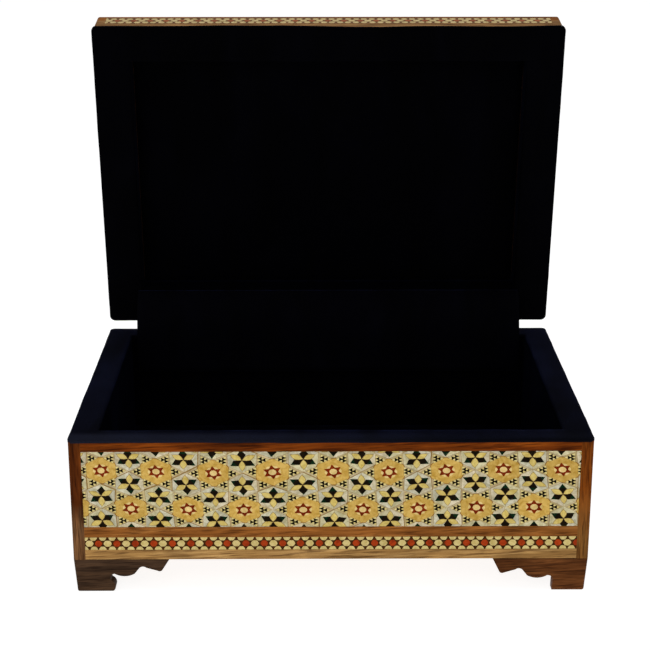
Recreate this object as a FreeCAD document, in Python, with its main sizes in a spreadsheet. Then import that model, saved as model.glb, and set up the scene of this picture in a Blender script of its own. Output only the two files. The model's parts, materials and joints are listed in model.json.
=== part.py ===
import FreeCAD, Part
import os
import re

import Sketcher

# Driving sizes, in millimetres and degrees.
SIZES = {
    # The box outside, its feet and its carcass.
    "box_width": 200,
    "box_depth": 138,
    "body_height": 49,
    "wall_thick": 8,
    "wall_rebate": 3,
    "bottom_thick": 5,
    # The frame of wood strips and the inlay between them.
    "skin_thick": 1.5,
    "inlay_thick": 1.3,
    "edge_round": 0.4,
    "post_width": 4.7,
    "post_round": 0.8,
    "top_rail": 4,
    "middle_rail": 4.4,
    "bottom_rail": 4.2,
    "border_height": 5.2,
    # The scalloped bracket feet. The left and right ones were sawn by hand and differ a little.
    "foot_height": 14.1,
    "foot_length": 37.1,
    "foot_thick": 5,
    "foot_taper": 0.9,
    "foot_toe": 0.8,
    "foot_waist": 4.8,
    "pad_left": 14.5,
    "pad_right": 13.5,
    "belly_left": 2.7,
    "belly_right": 40,
    "notch_hook": 0.2,
    "notch_round": 2,
    "lobe_start": 15.6,
    "lobe_height": 7.9,
    "lobe_round": 7.5,
    "crest_height": 10.5,
    "crest_round": 1.9,
    "tip_height": 9.15,
    "tip_round": 1.3,
    "wave_drop_left": 0,
    "wave_drop_right": 1.2,
    # The velvet.
    "velvet_thick": 1.2,
    "rim_pile": 1,
    "rim_overhang": 0.3,
    "rim_bevel": 0.4,
    "rim_corner": 2,
    "pad_thick": 2,
    "pad_round": 0.9,
    "pad_gap": 0.1,
    # The hinge flap: a strip that rises off the back lining and rolls over to the lid.
    "flap_width": 177,
    "flap_thick": 1,
    "flap_drop": 14,
    "flap_start": 2,
    "flap_rise": 28.2,
    "flap_roll": 14.25,
    "flap_turn": 35,
    "flap_gap": 0.3,
    # The lid.
    "closing_gap": 0.3,
    "lid_open": 81,
    "lid_height": 17.6,
    "lid_board_thick": 6.5,
    "lid_wall": 13.8,
    "lid_lip": 2.2,
    "lid_corner": 1.2,
    "lid_bevel": 1,
    "lid_overhang": 0.8,
    "lid_inlay_height": 9,
    "lid_inlay_end": 4.2,
    "groove_depth": 1.4,
    "top_border": 6,
    # The butt hinges.
    "hinge_back": 3.3,
    "hinge_offset": 58,
    "hinge_length": 24,
    "leaf_thick": 0.8,
    "leaf_reach": 12,
    "leaf_gap": 2.5,
    "mortise_gap": 0.1,
    "knuckle_gap": 0.3,
    "knuckle_middle": 10,
    "pin_radius": 1.1,
    "pin_head": 0.5,
    "pin_fit": 0.02,
    "running_fit": 0.05,
    # The hinge screws.
    "screw_spread": 8,
    "screw_back": 8.2,
    "screw_length": 6,
    "screw_radius": 0.6,
    "screw_head": 1.2,
    "screw_gap": 0.05,
}

# Sizes that follow from the driving ones.
DERIVED = {
    "body_top": "foot_height + body_height",
    "border_base": "foot_height + bottom_rail",
    "middle_base": "border_base + border_height",
    "panel_base": "middle_base + middle_rail",
    "panel_height": "body_top - top_rail - panel_base",
    "top_rail_base": "body_top - top_rail",
    "inside": "skin_thick + wall_thick",
    "lined": "inside + velvet_thick",
    "rebate_keep": "wall_thick - wall_rebate",
    "floor_top": "foot_height + bottom_thick",
    "rim_top": "body_top + rim_pile",
    "lid_base": "rim_top + closing_gap",
    "lid_wood_base": "lid_base + velvet_thick",
    "lid_top": "lid_base + lid_height",
    "lid_board_base": "lid_top - lid_board_thick",
    "lid_edge_top": "lid_top - lid_lip",
    "lid_edge_base": "lid_edge_top - lid_inlay_height",
    "lid_lined": "lid_wall + velvet_thick",
    "hinge_y": "box_depth / 2 + hinge_back",
    "hinge_z": "rim_top + closing_gap / 2",
    "leaf_face": "velvet_thick + closing_gap / 2",
    "knuckle_radius": "leaf_face + leaf_thick",
    "screw_cone": "screw_head - screw_radius",
    "mitre_round": "lid_corner * (1 - sqrt(0.5))",
}

doc = FreeCAD.newDocument("inlaid_box")
sheet = doc.addObject("Spreadsheet::Sheet", "Sizes")
for row, (word, size) in enumerate(SIZES.items(), 1):
    sheet.set(f"A{row}", word)
    sheet.set(f"B{row}", str(size))
    sheet.setAlias(f"B{row}", word)
doc.recompute()

pieces = []


def formula(text):
    """The expression for a size written in plain words."""

    def swap(match):
        word = match[0]
        if word in DERIVED:
            return f"({formula(DERIVED[word])})"
        return f"Sizes.{word}" if word in SIZES else word

    return re.sub(r"[a-z_]+", swap, text)


def number(text):
    return float(sheet.evalExpression(formula(text)))


def bind(thing, name, text):
    thing.setExpression(name, formula(text))


def place(x, y, z, angle="0", axis="0; 0; 1"):
    """The expression for a placement: a turn about an axis, then a shift."""
    shift = f"create(<<vector>>; {formula(x)}; {formula(y)}; {formula(z)})"
    turn = f"create(<<rotation>>; create(<<vector>>; {axis}); {formula(angle)})"
    return f"create(<<placement>>; {shift}; {turn})"


# The lid turns about the hinge axis, so its pieces are drawn closed and swung open together.
swing = doc.addObject("App::Placement", "lid_swing")
swing.setExpression(
    "Placement",
    place("0", "hinge_y", "hinge_z", "-lid_open", "1; 0; 0") + " * " + place("0", "-hinge_y", "-hinge_z"),
)
SWUNG = "lid_swing.Placement * "

# Each face has its own frame: x along the face from its left end, y into the box, z up.
FACES = {
    "front": ("box_width", place("-box_width / 2", "-box_depth / 2", "0")),
    "right": ("box_depth", place("box_width / 2", "-box_depth / 2", "0", "90")),
    "back": ("box_width", place("box_width / 2", "box_depth / 2", "0", "180")),
    "left": ("box_depth", place("-box_width / 2", "box_depth / 2", "0", "-90")),
}
CORNERS = {"front": "front_left", "right": "front_right", "back": "back_right", "left": "back_left"}
HINGES = {"left": "-hinge_offset", "right": "hinge_offset"}


def new_piece(label, placement):
    body = doc.addObject("PartDesign::Body", label)
    body.Label = label
    body.setExpression("Placement", placement)
    pieces.append(body)
    return body


def new_sketch(body, role, offset="0"):
    sketch = body.newObject("Sketcher::SketchObject", "outline")
    support = next(plane for plane in body.Origin.OriginFeatures if plane.Role == role)
    sketch.AttachmentSupport = [(support, "")]
    sketch.MapMode = "FlatFace"
    bind(sketch, "AttachmentOffset.Base.z", offset)
    return sketch


def loop(sketch, corners):
    """A closed outline. A corner is (x, y), or (x, y, radius) where an arc leads on from it.
    A positive radius turns left on the way to the next corner, a negative one turns right."""
    first = sketch.GeometryCount
    last = first + len(corners) - 1
    points = [FreeCAD.Vector(number(c[0]), number(c[1]), 0) for c in corners]
    rules = []
    texts = []
    ends = []
    for index, corner in enumerate(corners):
        begin = points[index]
        finish = points[(index + 1) % len(points)]
        radius = number(corner[2]) if len(corner) == 3 else 0
        if radius:
            chord = finish - begin
            half = chord.Length / 2
            outward = FreeCAD.Vector(chord.y, -chord.x, 0).normalize() * (1 if radius > 0 else -1)
            bulge = abs(radius) - (radius**2 - half**2) ** 0.5
            sketch.addGeometry(Part.Arc(begin, (begin + finish) / 2 + outward * bulge, finish), False)
            rules.append(Sketcher.Constraint("Radius", first + index, abs(radius)))
            texts.append(f"abs({corner[2]})")
        else:
            sketch.addGeometry(Part.LineSegment(begin, finish), False)
        ends.append((1, 2) if radius >= 0 else (2, 1))
        rules.append(Sketcher.Constraint("DistanceX", -1, 1, first + index, ends[index][0], begin.x))
        rules.append(Sketcher.Constraint("DistanceY", -1, 1, first + index, ends[index][0], begin.y))
        texts += corner[:2]
    start = sketch.ConstraintCount
    sketch.addConstraint(rules)
    for index, text in enumerate(texts):
        bind(sketch, f"Constraints[{start + index}]", text)
    for index in range(len(corners)):
        after = index + 1 if first + index < last else 0
        sketch.addConstraint(
            Sketcher.Constraint("Coincident", first + index, ends[index][1], first + after, ends[after][0])
        )


def ring(sketch, x, y, radius):
    index = sketch.addGeometry(
        Part.Circle(FreeCAD.Vector(number(x), number(y), 0), FreeCAD.Vector(0, 0, 1), number(radius)), False
    )
    start = sketch.ConstraintCount
    sketch.addConstraint(
        [
            Sketcher.Constraint("DistanceX", -1, 1, index, 3, number(x)),
            Sketcher.Constraint("DistanceY", -1, 1, index, 3, number(y)),
            Sketcher.Constraint("Radius", index, number(radius)),
        ]
    )
    for step, text in enumerate((x, y, radius)):
        bind(sketch, f"Constraints[{start + step}]", text)


def rectangle(left, low, right, high):
    return [(left, low), (right, low), (right, high), (left, high)]


def centred(half_width, half_depth):
    return rectangle(f"-({half_width})", f"-({half_depth})", half_width, half_depth)


def grow(body, sketch, length, backward=False):
    pad = body.newObject("PartDesign::Pad", "pad")
    pad.Profile = sketch
    pad.Reversed = backward
    bind(pad, "Length", length)
    doc.recompute()
    return pad


def carve(body, sketch, depth, upward=False):
    """Cut along a sketch. The cut goes below the sketch, or above it."""
    before = body.Shape.Volume
    cut = body.newObject("PartDesign::Pocket", "pocket")
    cut.Profile = sketch
    cut.Reversed = upward
    bind(cut, "Length", depth)
    doc.recompute()
    if body.Shape.Volume > before - 0.01:
        raise RuntimeError(f"{body.Label}: a pocket cuts nothing")
    return cut


def edges_where(feature, test):
    """The names of the edges that lie wholly where the test on x, y and z holds."""
    names = []
    for index, edge in enumerate(feature.Shape.Edges, 1):
        middle = edge.valueAt((edge.FirstParameter + edge.LastParameter) / 2)
        spots = [vertex.Point for vertex in edge.Vertexes] + [middle]
        if all(test(*spot) for spot in spots):
            names.append(f"Edge{index}")
    return names


def near(place_a, place_b):
    return abs(place_a - place_b) < 1e-4


def soften(body, feature, radius, test, kind="Fillet"):
    trim = body.newObject(f"PartDesign::{kind}", kind.lower())
    trim.Base = (feature, edges_where(feature, test))
    bind(trim, "Radius" if kind == "Fillet" else "Size", radius)
    doc.recompute()
    return trim


def plate(label, placement, length, thick, height):
    """A strip that is drawn as its cross-section and runs along x."""
    body = new_piece(label, placement)
    sketch = new_sketch(body, "YZ_Plane")
    loop(sketch, rectangle("0", "0", thick, height))
    grow(body, sketch, length)
    return body


def frame(label, placement, base, height, outer, inner):
    """A band that runs round a rectangular opening."""
    body = new_piece(label, placement)
    sketch = new_sketch(body, "XY_Plane", base)
    for inset in (outer, inner):
        loop(sketch, centred(f"box_width / 2 - ({inset})", f"box_depth / 2 - ({inset})"))
    grow(body, sketch, height)
    return body


def slab(label, placement, base, height, inset):
    body = new_piece(label, placement)
    sketch = new_sketch(body, "XY_Plane", base)
    loop(sketch, centred(f"box_width / 2 - ({inset})", f"box_depth / 2 - ({inset})"))
    return body, grow(body, sketch, height)


def cut_hinge_seats(body, surface, depth, near_edge, far_edge, length, upward):
    """Mortises for two hinge leaves in a piece of the back face, open to the outside."""
    sketch = new_sketch(body, "XY_Plane", surface)
    half = "hinge_length / 2 + mortise_gap"
    for centre in HINGES.values():
        middle = f"{length} / 2 + {centre}"
        loop(sketch, rectangle(f"{middle} - ({half})", near_edge, f"{middle} + {half}", far_edge))
    carve(body, sketch, depth, upward)


def drill_screw_holes(body, surface, across, length, upward):
    sketch = new_sketch(body, "XY_Plane", surface)
    for centre in HINGES.values():
        for side in ("-", "+"):
            ring(sketch, f"{length} / 2 + {centre} {side} screw_spread", across, "screw_radius + screw_gap")
    carve(body, sketch, "screw_length + leaf_thick", upward)


def make_wall(face):
    """A carcass wall. The front and back are rebated at both ends to take the side walls."""
    length, origin = FACES[face]
    if face in ("front", "back"):
        run = f"({length} - 2 * skin_thick)"
        body = new_piece(f"{face}_wall", origin + " * " + place("skin_thick", "skin_thick", "foot_height"))
        corners = [
            ("0", "0"),
            (run, "0"),
            (run, "rebate_keep"),
            (f"{run} - wall_thick", "rebate_keep"),
            (f"{run} - wall_thick", "wall_thick"),
            ("wall_thick", "wall_thick"),
            ("wall_thick", "rebate_keep"),
            ("0", "rebate_keep"),
        ]
    else:
        start = "skin_thick + rebate_keep"
        body = new_piece(f"{face}_wall", origin + " * " + place(start, "skin_thick", "foot_height"))
        corners = rectangle("0", "0", f"{length} - 2 * ({start})", "wall_thick")
    sketch = new_sketch(body, "XY_Plane")
    loop(sketch, corners)
    grow(body, sketch, "body_height")
    if face == "back":
        seat = "body_top - hinge_z + knuckle_radius"
        reach = "leaf_reach - hinge_back - skin_thick + mortise_gap"
        cut_hinge_seats(body, "body_height", seat, "-skin_thick", reach, run, False)
        drill_screw_holes(body, "body_height", "screw_back - hinge_back - skin_thick", run, False)


def make_post(face):
    """A corner post: a strip of wood bent round the corner of the carcass."""
    body = new_piece(f"{CORNERS[face]}_post", FACES[face][1] + " * " + place("0", "0", "foot_height"))
    sketch = new_sketch(body, "XY_Plane")
    corners = [
        ("0", "0"),
        ("post_width", "0"),
        ("post_width", "skin_thick"),
        ("skin_thick", "skin_thick"),
        ("skin_thick", "post_width"),
        ("0", "post_width"),
    ]
    loop(sketch, corners)
    pad = grow(body, sketch, "body_height")
    soften(body, pad, "post_round", lambda x, y, z: near(x, 0) and near(y, 0))


def make_rail(face, level, base, height):
    length, origin = FACES[face]
    run = f"({length} - 2 * post_width)"
    at = origin + " * " + place("post_width", "0", base)
    body = plate(f"{face}_{level}_rail", at, run, "skin_thick", height)
    tall = number(height)
    soften(body, body.Tip, "edge_round", lambda x, y, z: near(y, 0) and (near(z, 0) or near(z, tall)))
    if face == "back" and level == "top":
        seat = "body_top - hinge_z + knuckle_radius"
        cut_hinge_seats(body, height, seat, "-skin_thick", "2 * skin_thick", run, False)


def make_inlay(face, kind, base, height):
    """A sheet of inlay, a little below the wood strips that frame it."""
    length, origin = FACES[face]
    at = origin + " * " + place("post_width", "skin_thick - inlay_thick", base)
    plate(f"{face}_inlay_{kind}", at, f"{length} - 2 * post_width", "inlay_thick", height)


def foot_profile(hand):
    """One bracket seen square on: pad, belly, notch, then a lobe, a narrow crest and a pointed tip."""
    lobe = f"lobe_height - wave_drop_{hand}"
    crest = f"crest_height - wave_drop_{hand}"
    tip = f"tip_height - wave_drop_{hand}"
    return [
        ("0", "foot_height"),
        ("0", "0"),
        (f"pad_{hand}", "0", f"belly_{hand}"),
        (f"pad_{hand} - notch_hook", "foot_waist", "-notch_round"),
        ("lobe_start", lobe, "lobe_round"),
        ("0.632 * foot_length", lobe),
        ("0.686 * foot_length", crest, "-crest_round"),
        ("0.757 * foot_length", crest),
        ("0.876 * foot_length", tip, "tip_round"),
        ("0.927 * foot_length", f"{tip} + 0.4 * tip_round"),
        ("foot_length", "foot_height"),
    ]


def make_foot(face):
    """A bracket foot: two scalloped brackets that meet at the corner and lean in towards the floor."""
    name = CORNERS[face]
    hand = name.split("_")[1]
    body = new_piece(f"{name}_foot", FACES[face][1])
    along = new_sketch(body, "XZ_Plane")
    loop(along, foot_profile(hand))
    grow(body, along, "foot_thick", backward=True)
    across = new_sketch(body, "YZ_Plane")
    loop(across, foot_profile(hand))
    grow(body, across, "foot_thick")
    for side, upward in (("XZ_Plane", False), ("YZ_Plane", True)):
        wedge = new_sketch(body, side)
        loop(wedge, [("0", "0"), ("foot_taper", "0"), ("0", "foot_height")])
        tapered = carve(body, wedge, "foot_length", upward)
    inset = number("foot_taper")
    turn = number("post_round")
    rounded = soften(body, tapered, "post_round", lambda x, y, z: near(x, y) and x < inset + turn)

    def on_toe(x, y, z):
        return near(z, 0) and min(x, y) < inset + turn and (x - inset) * (y - inset) < turn**2

    soften(body, rounded, "foot_toe", on_toe)


def make_box_velvet():
    pad_inset = "lined + pad_gap"
    body, pad = slab("floor_pad", place("0", "0", "0"), "floor_top", "pad_thick", pad_inset)
    high = number("floor_top + pad_thick")
    soften(body, pad, "pad_round", lambda x, y, z: near(z, high))
    frame("wall_lining", place("0", "0", "0"), "floor_top", "body_top - floor_top", "inside", "lined")
    make_rim("rim_velvet", place("0", "0", "0"), "body_top", "rim_pile", "lined", "rim_overhang", "rim_top")


def make_rim(label, placement, base, height, inner, overhang, face):
    """Velvet turned over a rim, with rounded outer corners and bevelled edges on its face."""
    body = frame(label, placement, base, height, f"-{overhang}", inner)
    half = number(f"box_width / 2 + {overhang}")
    deep = number(f"box_depth / 2 + {overhang}")
    upright = soften(body, body.Tip, "rim_corner", lambda x, y, z: near(abs(x), half) and near(abs(y), deep))
    level = number(face)
    soften(body, upright, "rim_bevel", lambda x, y, z: near(z, level), "Chamfer")


def make_flap():
    """The velvet flap in section: flat on the back lining, then two arcs that roll over to the lid."""
    body = new_piece("hinge_flap", place("0", "0", "0"))
    sketch = new_sketch(body, "YZ_Plane", "-flap_width / 2")
    front = "(box_depth / 2 - lined - flap_gap - flap_thick)"
    start = "(body_top - flap_start)"
    turn = "flap_turn"
    corners = []
    for thick, back in (("0", False), ("flap_thick", True)):
        rise = f"(flap_rise - {thick})"
        roll = f"(flap_roll - {thick})"
        face = f"({front} + {thick})"
        bend_y = f"({face} + {rise} * (1 - cos({turn})))"
        bend_z = f"({start} + {rise} * sin({turn}))"
        end_y = f"({bend_y} + {roll} * (cos({turn}) - cos(2 * {turn})))"
        end_z = f"({bend_z} + {roll} * (sin(2 * {turn}) - sin({turn})))"
        low = f"({start} - flap_drop)"
        if back:
            corners += [(end_y, end_z, roll), (bend_y, bend_z, rise), (face, start), (face, low)]
        else:
            corners += [(face, low), (face, start, f"-{rise}"), (bend_y, bend_z, f"-{roll}"), (end_y, end_z)]
    loop(sketch, corners)
    grow(body, sketch, "flap_width")


def make_leaf(side, owner):
    """Half a butt hinge, drawn about its axis. The box half has the middle knuckle, the lid half two."""
    sign = "-" if owner == "box" else ""
    swung = "" if owner == "box" else SWUNG
    at = swung + place(HINGES[side], "hinge_y", "hinge_z")
    body = new_piece(f"{side}_hinge_{owner}_leaf", at)
    half = "hinge_length / 2"
    middle = "knuckle_middle / 2"
    outer = f"{middle} + knuckle_gap"
    spans = [(f"-{middle}", middle)] if owner == "box" else [(f"-{half}", f"-({outer})"), (outer, half)]
    base = "-knuckle_radius" if owner == "box" else "leaf_face"
    blank = new_sketch(body, "XY_Plane", base)
    loop(blank, rectangle(f"-{half}", "-leaf_reach", half, "-leaf_gap"))
    grow(body, blank, "leaf_thick")
    bore = "pin_radius + pin_fit" if owner == "box" else "pin_radius + running_fit"
    for low, high in spans:
        tab = new_sketch(body, "XY_Plane", base)
        loop(tab, rectangle(low, "-leaf_gap - leaf_thick", high, "0"))
        grow(body, tab, "leaf_thick")
        barrel = new_sketch(body, "YZ_Plane", low)
        ring(barrel, "0", "0", "knuckle_radius")
        grow(body, barrel, f"{high} - ({low})")
    eye = new_sketch(body, "YZ_Plane", f"-{half}")
    ring(eye, "0", "0", bore)
    carve(body, eye, "hinge_length", upward=True)
    holes = new_sketch(body, "XY_Plane", f"{sign}leaf_face")
    for at_x in ("-screw_spread", "screw_spread"):
        ring(holes, at_x, "-screw_back", "screw_radius + screw_gap")
    drilled = carve(body, holes, "leaf_thick", upward=owner == "lid")
    level = number(f"{sign}leaf_face")
    radius = number("screw_radius + screw_gap")

    def on_hole(x, y, z):
        reach = ((abs(x) - number("screw_spread")) ** 2 + (y + number("screw_back")) ** 2) ** 0.5
        return near(z, level) and near(reach, radius)

    soften(body, drilled, "screw_cone", on_hole, "Chamfer")


def make_pin(side):
    """A hinge pin with a bevelled end outside each outer knuckle."""
    body = new_piece(f"{side}_hinge_pin", place(HINGES[side], "hinge_y", "hinge_z"))
    sketch = new_sketch(body, "XY_Plane")
    tip = "hinge_length / 2 + pin_head"
    shoulder = "hinge_length / 2"
    corners = [
        (f"-({tip})", "0"),
        (tip, "0"),
        (tip, "pin_radius - pin_head"),
        (shoulder, "pin_radius"),
        (f"-{shoulder}", "pin_radius"),
        (f"-({tip})", "pin_radius - pin_head"),
    ]
    loop(sketch, corners)
    turned = body.newObject("PartDesign::Revolution", "turned")
    turned.Profile = sketch
    turned.ReferenceAxis = (sketch, ["H_Axis"])
    turned.Angle = 360
    doc.recompute()


def make_screws(owner):
    """The countersunk screws of one half of both hinges, as a group."""
    group = doc.addObject("Part::Compound", f"{owner}_hinge_screws")
    group.Label = f"{owner}_hinge_screws"
    swung = "" if owner == "box" else SWUNG
    turn = "0" if owner == "box" else "180"
    face = "hinge_z - leaf_face" if owner == "box" else "hinge_z + leaf_face"
    made = []
    for centre in HINGES.values():
        for step in ("-", "+"):
            head = doc.addObject("Part::Cone", "head")
            bind(head, "Radius1", "screw_radius")
            bind(head, "Radius2", "screw_head")
            bind(head, "Height", "screw_cone")
            head.setExpression("Placement", place("0", "0", "-screw_cone"))
            shank = doc.addObject("Part::Cylinder", "shank")
            bind(shank, "Radius", "screw_radius")
            bind(shank, "Height", "screw_length - screw_cone")
            shank.setExpression("Placement", place("0", "0", "-screw_length"))
            screw = doc.addObject("Part::Fuse", "screw")
            screw.Base = head
            screw.Tool = shank
            at = place(f"{centre} {step} screw_spread", "hinge_y - screw_back", face, turn, "1; 0; 0")
            screw.setExpression("Placement", swung + at)
            made.append(screw)
    group.Links = made
    pieces.append(group)


def make_lid_board():
    """The lid's top board, grooved round its edge for the inlay strips and sunk on top for the field."""
    closed = place("0", "0", "0")
    body, pad = slab("lid_board", SWUNG + closed, "lid_board_base", "lid_board_thick", "0")
    half = number("box_width / 2")
    deep = number("box_depth / 2")
    upright = soften(body, pad, "lid_corner", lambda x, y, z: near(abs(x), half) and near(abs(y), deep))
    high = number("lid_top")
    soften(body, upright, "lid_bevel", lambda x, y, z: near(z, high), "Chamfer")
    grooves = new_sketch(body, "XY_Plane", "lid_board_base")
    floor_x = "box_width / 2 - groove_depth"
    floor_y = "box_depth / 2 - groove_depth"
    end_x = "box_width / 2 - lid_inlay_end"
    end_y = "box_depth / 2 - lid_inlay_end"
    for sign in ("-", ""):
        loop(grooves, rectangle(f"-({end_x})", f"{sign}({floor_y})", end_x, f"{sign}(box_depth / 2 + 1)"))
        loop(grooves, rectangle(f"{sign}({floor_x})", f"-({end_y})", f"{sign}(box_width / 2 + 1)", end_y))
    carve(body, grooves, "lid_board_thick - lid_lip", upward=True)
    recess = new_sketch(body, "XY_Plane", "lid_top")
    loop(recess, centred("box_width / 2 - top_border", "box_depth / 2 - top_border"))
    carve(body, recess, "inlay_thick")


def make_lid_wall(face):
    """A mitred side of the lid frame with a rabbet for its inlay strip."""
    length, origin = FACES[face]
    body = new_piece(f"lid_{face}_wall", SWUNG + origin)
    sketch = new_sketch(body, "XY_Plane", "lid_wood_base")
    corners = [
        ("lid_corner", "0"),
        (f"{length} - lid_corner", "0", "lid_corner"),
        (f"{length} - mitre_round", "mitre_round"),
        (f"{length} - lid_wall", "lid_wall"),
        ("lid_wall", "lid_wall"),
        ("mitre_round", "mitre_round", "lid_corner"),
    ]
    loop(sketch, corners)
    grow(body, sketch, "lid_board_base - lid_wood_base")
    rabbet = new_sketch(body, "XY_Plane", "lid_board_base")
    loop(rabbet, rectangle("lid_inlay_end", "-1", f"{length} - lid_inlay_end", "groove_depth"))
    carve(body, rabbet, "lid_board_base - lid_edge_base")
    if face == "back":
        reach = "leaf_reach - hinge_back + mortise_gap"
        cut_hinge_seats(body, "lid_wood_base", "leaf_thick", "-1", reach, length, True)
        drill_screw_holes(body, "lid_wood_base", "screw_back - hinge_back", length, True)


def make_lid_inlay():
    for face, (length, origin) in FACES.items():
        at = SWUNG + origin + " * " + place("lid_inlay_end", "groove_depth - inlay_thick", "lid_edge_base")
        run = f"{length} - 2 * lid_inlay_end"
        plate(f"lid_{face}_inlay", at, run, "inlay_thick", "lid_inlay_height")
    closed = SWUNG + place("0", "0", "0")
    slab("lid_top_inlay", closed, "lid_top - inlay_thick", "inlay_thick", "top_border")


def make_lid_velvet():
    closed = SWUNG + place("0", "0", "0")
    slab("lid_panel_lining", closed, "lid_board_base - velvet_thick", "velvet_thick", "lid_lined + pad_gap")
    depth = "lid_board_base - lid_wood_base"
    frame("lid_wall_lining", closed, "lid_wood_base", depth, "lid_wall", "lid_lined")
    make_rim("lid_rim_velvet", closed, "lid_base", "velvet_thick", "lid_lined", "lid_overhang", "lid_base")


def make_everything():
    for face in FACES:
        make_wall(face)
        make_post(face)
        make_rail(face, "top", "top_rail_base", "top_rail")
        make_rail(face, "middle", "middle_base", "middle_rail")
        make_rail(face, "bottom", "foot_height", "bottom_rail")
        make_inlay(face, "panel", "panel_base", "panel_height")
        make_inlay(face, "border", "border_base", "border_height")
        make_foot(face)
        make_lid_wall(face)
    slab("bottom_board", place("0", "0", "0"), "foot_height", "bottom_thick", "inside")
    make_box_velvet()
    make_flap()
    make_lid_board()
    make_lid_inlay()
    make_lid_velvet()
    for side in HINGES:
        make_leaf(side, "box")
        make_leaf(side, "lid")
        make_pin(side)
    make_screws("box")
    make_screws("lid")


def check_everything():
    for thing in doc.Objects:
        if {"Invalid", "Error"} & set(thing.State):
            raise RuntimeError(f"{thing.Label} failed: {thing.State}")
    for piece in pieces:
        if piece.Shape.isNull() or not piece.Shape.isValid():
            raise RuntimeError(f"{piece.Label} has no valid shape")


make_everything()
doc.recompute()
check_everything()
os.makedirs("parts", exist_ok=True)
for piece in pieces:
    piece.Shape.exportStep(f"parts/{piece.Label}.step")
print(len(pieces), "pieces written")
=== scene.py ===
import json
import random
from functools import cache
from math import cos, dist, pi, radians, sin, sqrt

import bmesh
import bpy
from mathutils import Matrix, Vector, noise


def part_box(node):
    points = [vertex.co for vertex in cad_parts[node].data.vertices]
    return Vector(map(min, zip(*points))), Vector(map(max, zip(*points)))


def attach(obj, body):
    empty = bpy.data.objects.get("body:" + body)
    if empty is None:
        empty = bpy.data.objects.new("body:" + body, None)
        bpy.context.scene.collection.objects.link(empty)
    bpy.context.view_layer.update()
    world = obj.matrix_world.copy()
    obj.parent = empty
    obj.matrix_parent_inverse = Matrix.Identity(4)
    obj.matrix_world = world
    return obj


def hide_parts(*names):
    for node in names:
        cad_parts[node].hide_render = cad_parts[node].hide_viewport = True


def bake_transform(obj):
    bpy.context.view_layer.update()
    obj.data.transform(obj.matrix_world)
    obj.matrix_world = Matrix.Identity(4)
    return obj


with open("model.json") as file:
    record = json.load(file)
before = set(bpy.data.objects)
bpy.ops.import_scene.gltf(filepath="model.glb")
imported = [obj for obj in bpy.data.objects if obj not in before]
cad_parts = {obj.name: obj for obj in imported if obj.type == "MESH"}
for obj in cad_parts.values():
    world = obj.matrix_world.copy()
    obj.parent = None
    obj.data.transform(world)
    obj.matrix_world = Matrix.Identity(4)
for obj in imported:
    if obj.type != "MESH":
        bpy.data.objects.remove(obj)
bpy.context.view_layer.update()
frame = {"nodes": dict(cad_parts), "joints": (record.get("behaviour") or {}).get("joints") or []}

MM = 0.001
SIXTH = pi / 3
nodes = frame["nodes"]
hinge = frame["joints"][0]
hinge_at = Vector(hinge["pos_m"])
lid_open = radians(hinge["range_deg"][1])

# The lid's pieces are made closed, in the box's own directions, and then swung open to rest.
TO_REST = Matrix.Translation(hinge_at) @ Matrix.Rotation(-lid_open, 4, "X") @ Matrix.Translation(-hinge_at)
STAY = Matrix.Identity(4)

# Half the wooden box's width and depth, out to the faces of its posts.
post_low, post_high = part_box("front_right_post")
frame_half = Vector((post_high.x, -post_low.y))

# The rosettes: their spacing in a row, how flat the box's panels draw them, the first row below a panel's
# upper edge, how far the rows lie off its middle, and how far a rosette slips.
ROSETTE_PITCH = 22.02 * MM
ROSETTE_FLATNESS = 0.8125
FIRST_ROW = 8.0 * MM
ROWS_OFF = 0.17 * MM
ROSETTE_SLIP = 0.23 * MM

# The drift of a pattern glued up by hand: how long its waves are, how far they carry a spot along and across
# the panel, and where in the noise each of the two is read.
DRIFT_LONG = 52 * MM
DRIFT_ALONG = 2.4 * MM
DRIFT_ACROSS = 1.2 * MM
DRIFT_ALONG_AT = 242.3
DRIFT_ACROSS_AT = 101.5

# The bands of hexagons: their spacing on the box and round the lid, where the first one stands, how far each
# slips, and how wide the band on the lid's top is.
BORDER_PITCH = 3.562 * MM
LID_EDGE_PITCH = 3.475 * MM
HEXAGON_START = 1.65 * MM
HEXAGON_SLIP = 0.16 * MM
LID_BORDER = 5.2 * MM

# The tesserae: the height of a level, how deep they sit in the panel, and the side of the smallest one laid.
TESSERA_STEP = 0.02 * MM
TESSERA_SUNK = 0.02 * MM
TESSERA_LEAST = 0.1 * MM

# The velvet: its thickness, its corners' radius on the box, on the lid and at the least, and how uneven its
# surface is, with the waves per metre and their shares.
VELVET_THICK = 1.2 * MM
BOX_CORNER = 2 * MM
LID_CORNER = 1.7 * MM
LEAST_CORNER = 0.9 * MM
VELVET_UNEVEN = 0.16 * MM
UNEVEN_WAVES = ((95, 1), (260, 0.5))

# The hem over the box's rails and the lid velvet's front edge are uneven: the most that the hem drops, and
# for both the mean share of the most, how far it varies, the least, the waves per metre and their place in
# the noise.
HEM_DROP = 0.45 * MM
HEM = {"mean": 0.5, "varies": 1, "least": 0, "waves": 45, "at": (1.9,)}
LID_FRONT = {"mean": 0.45, "varies": 1.1, "least": 0.05, "waves": 26, "at": (0.4, 7.3)}

# A painted sheen pales the pile along the front rim: how wide, the share left on the right, and the colour.
SHEEN_EDGE_WIDE = 8.2 * MM
SHEEN_EDGE_LEAST = 0.14
SHEEN_EDGE_TONE = (24, 26, 36)

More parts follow.
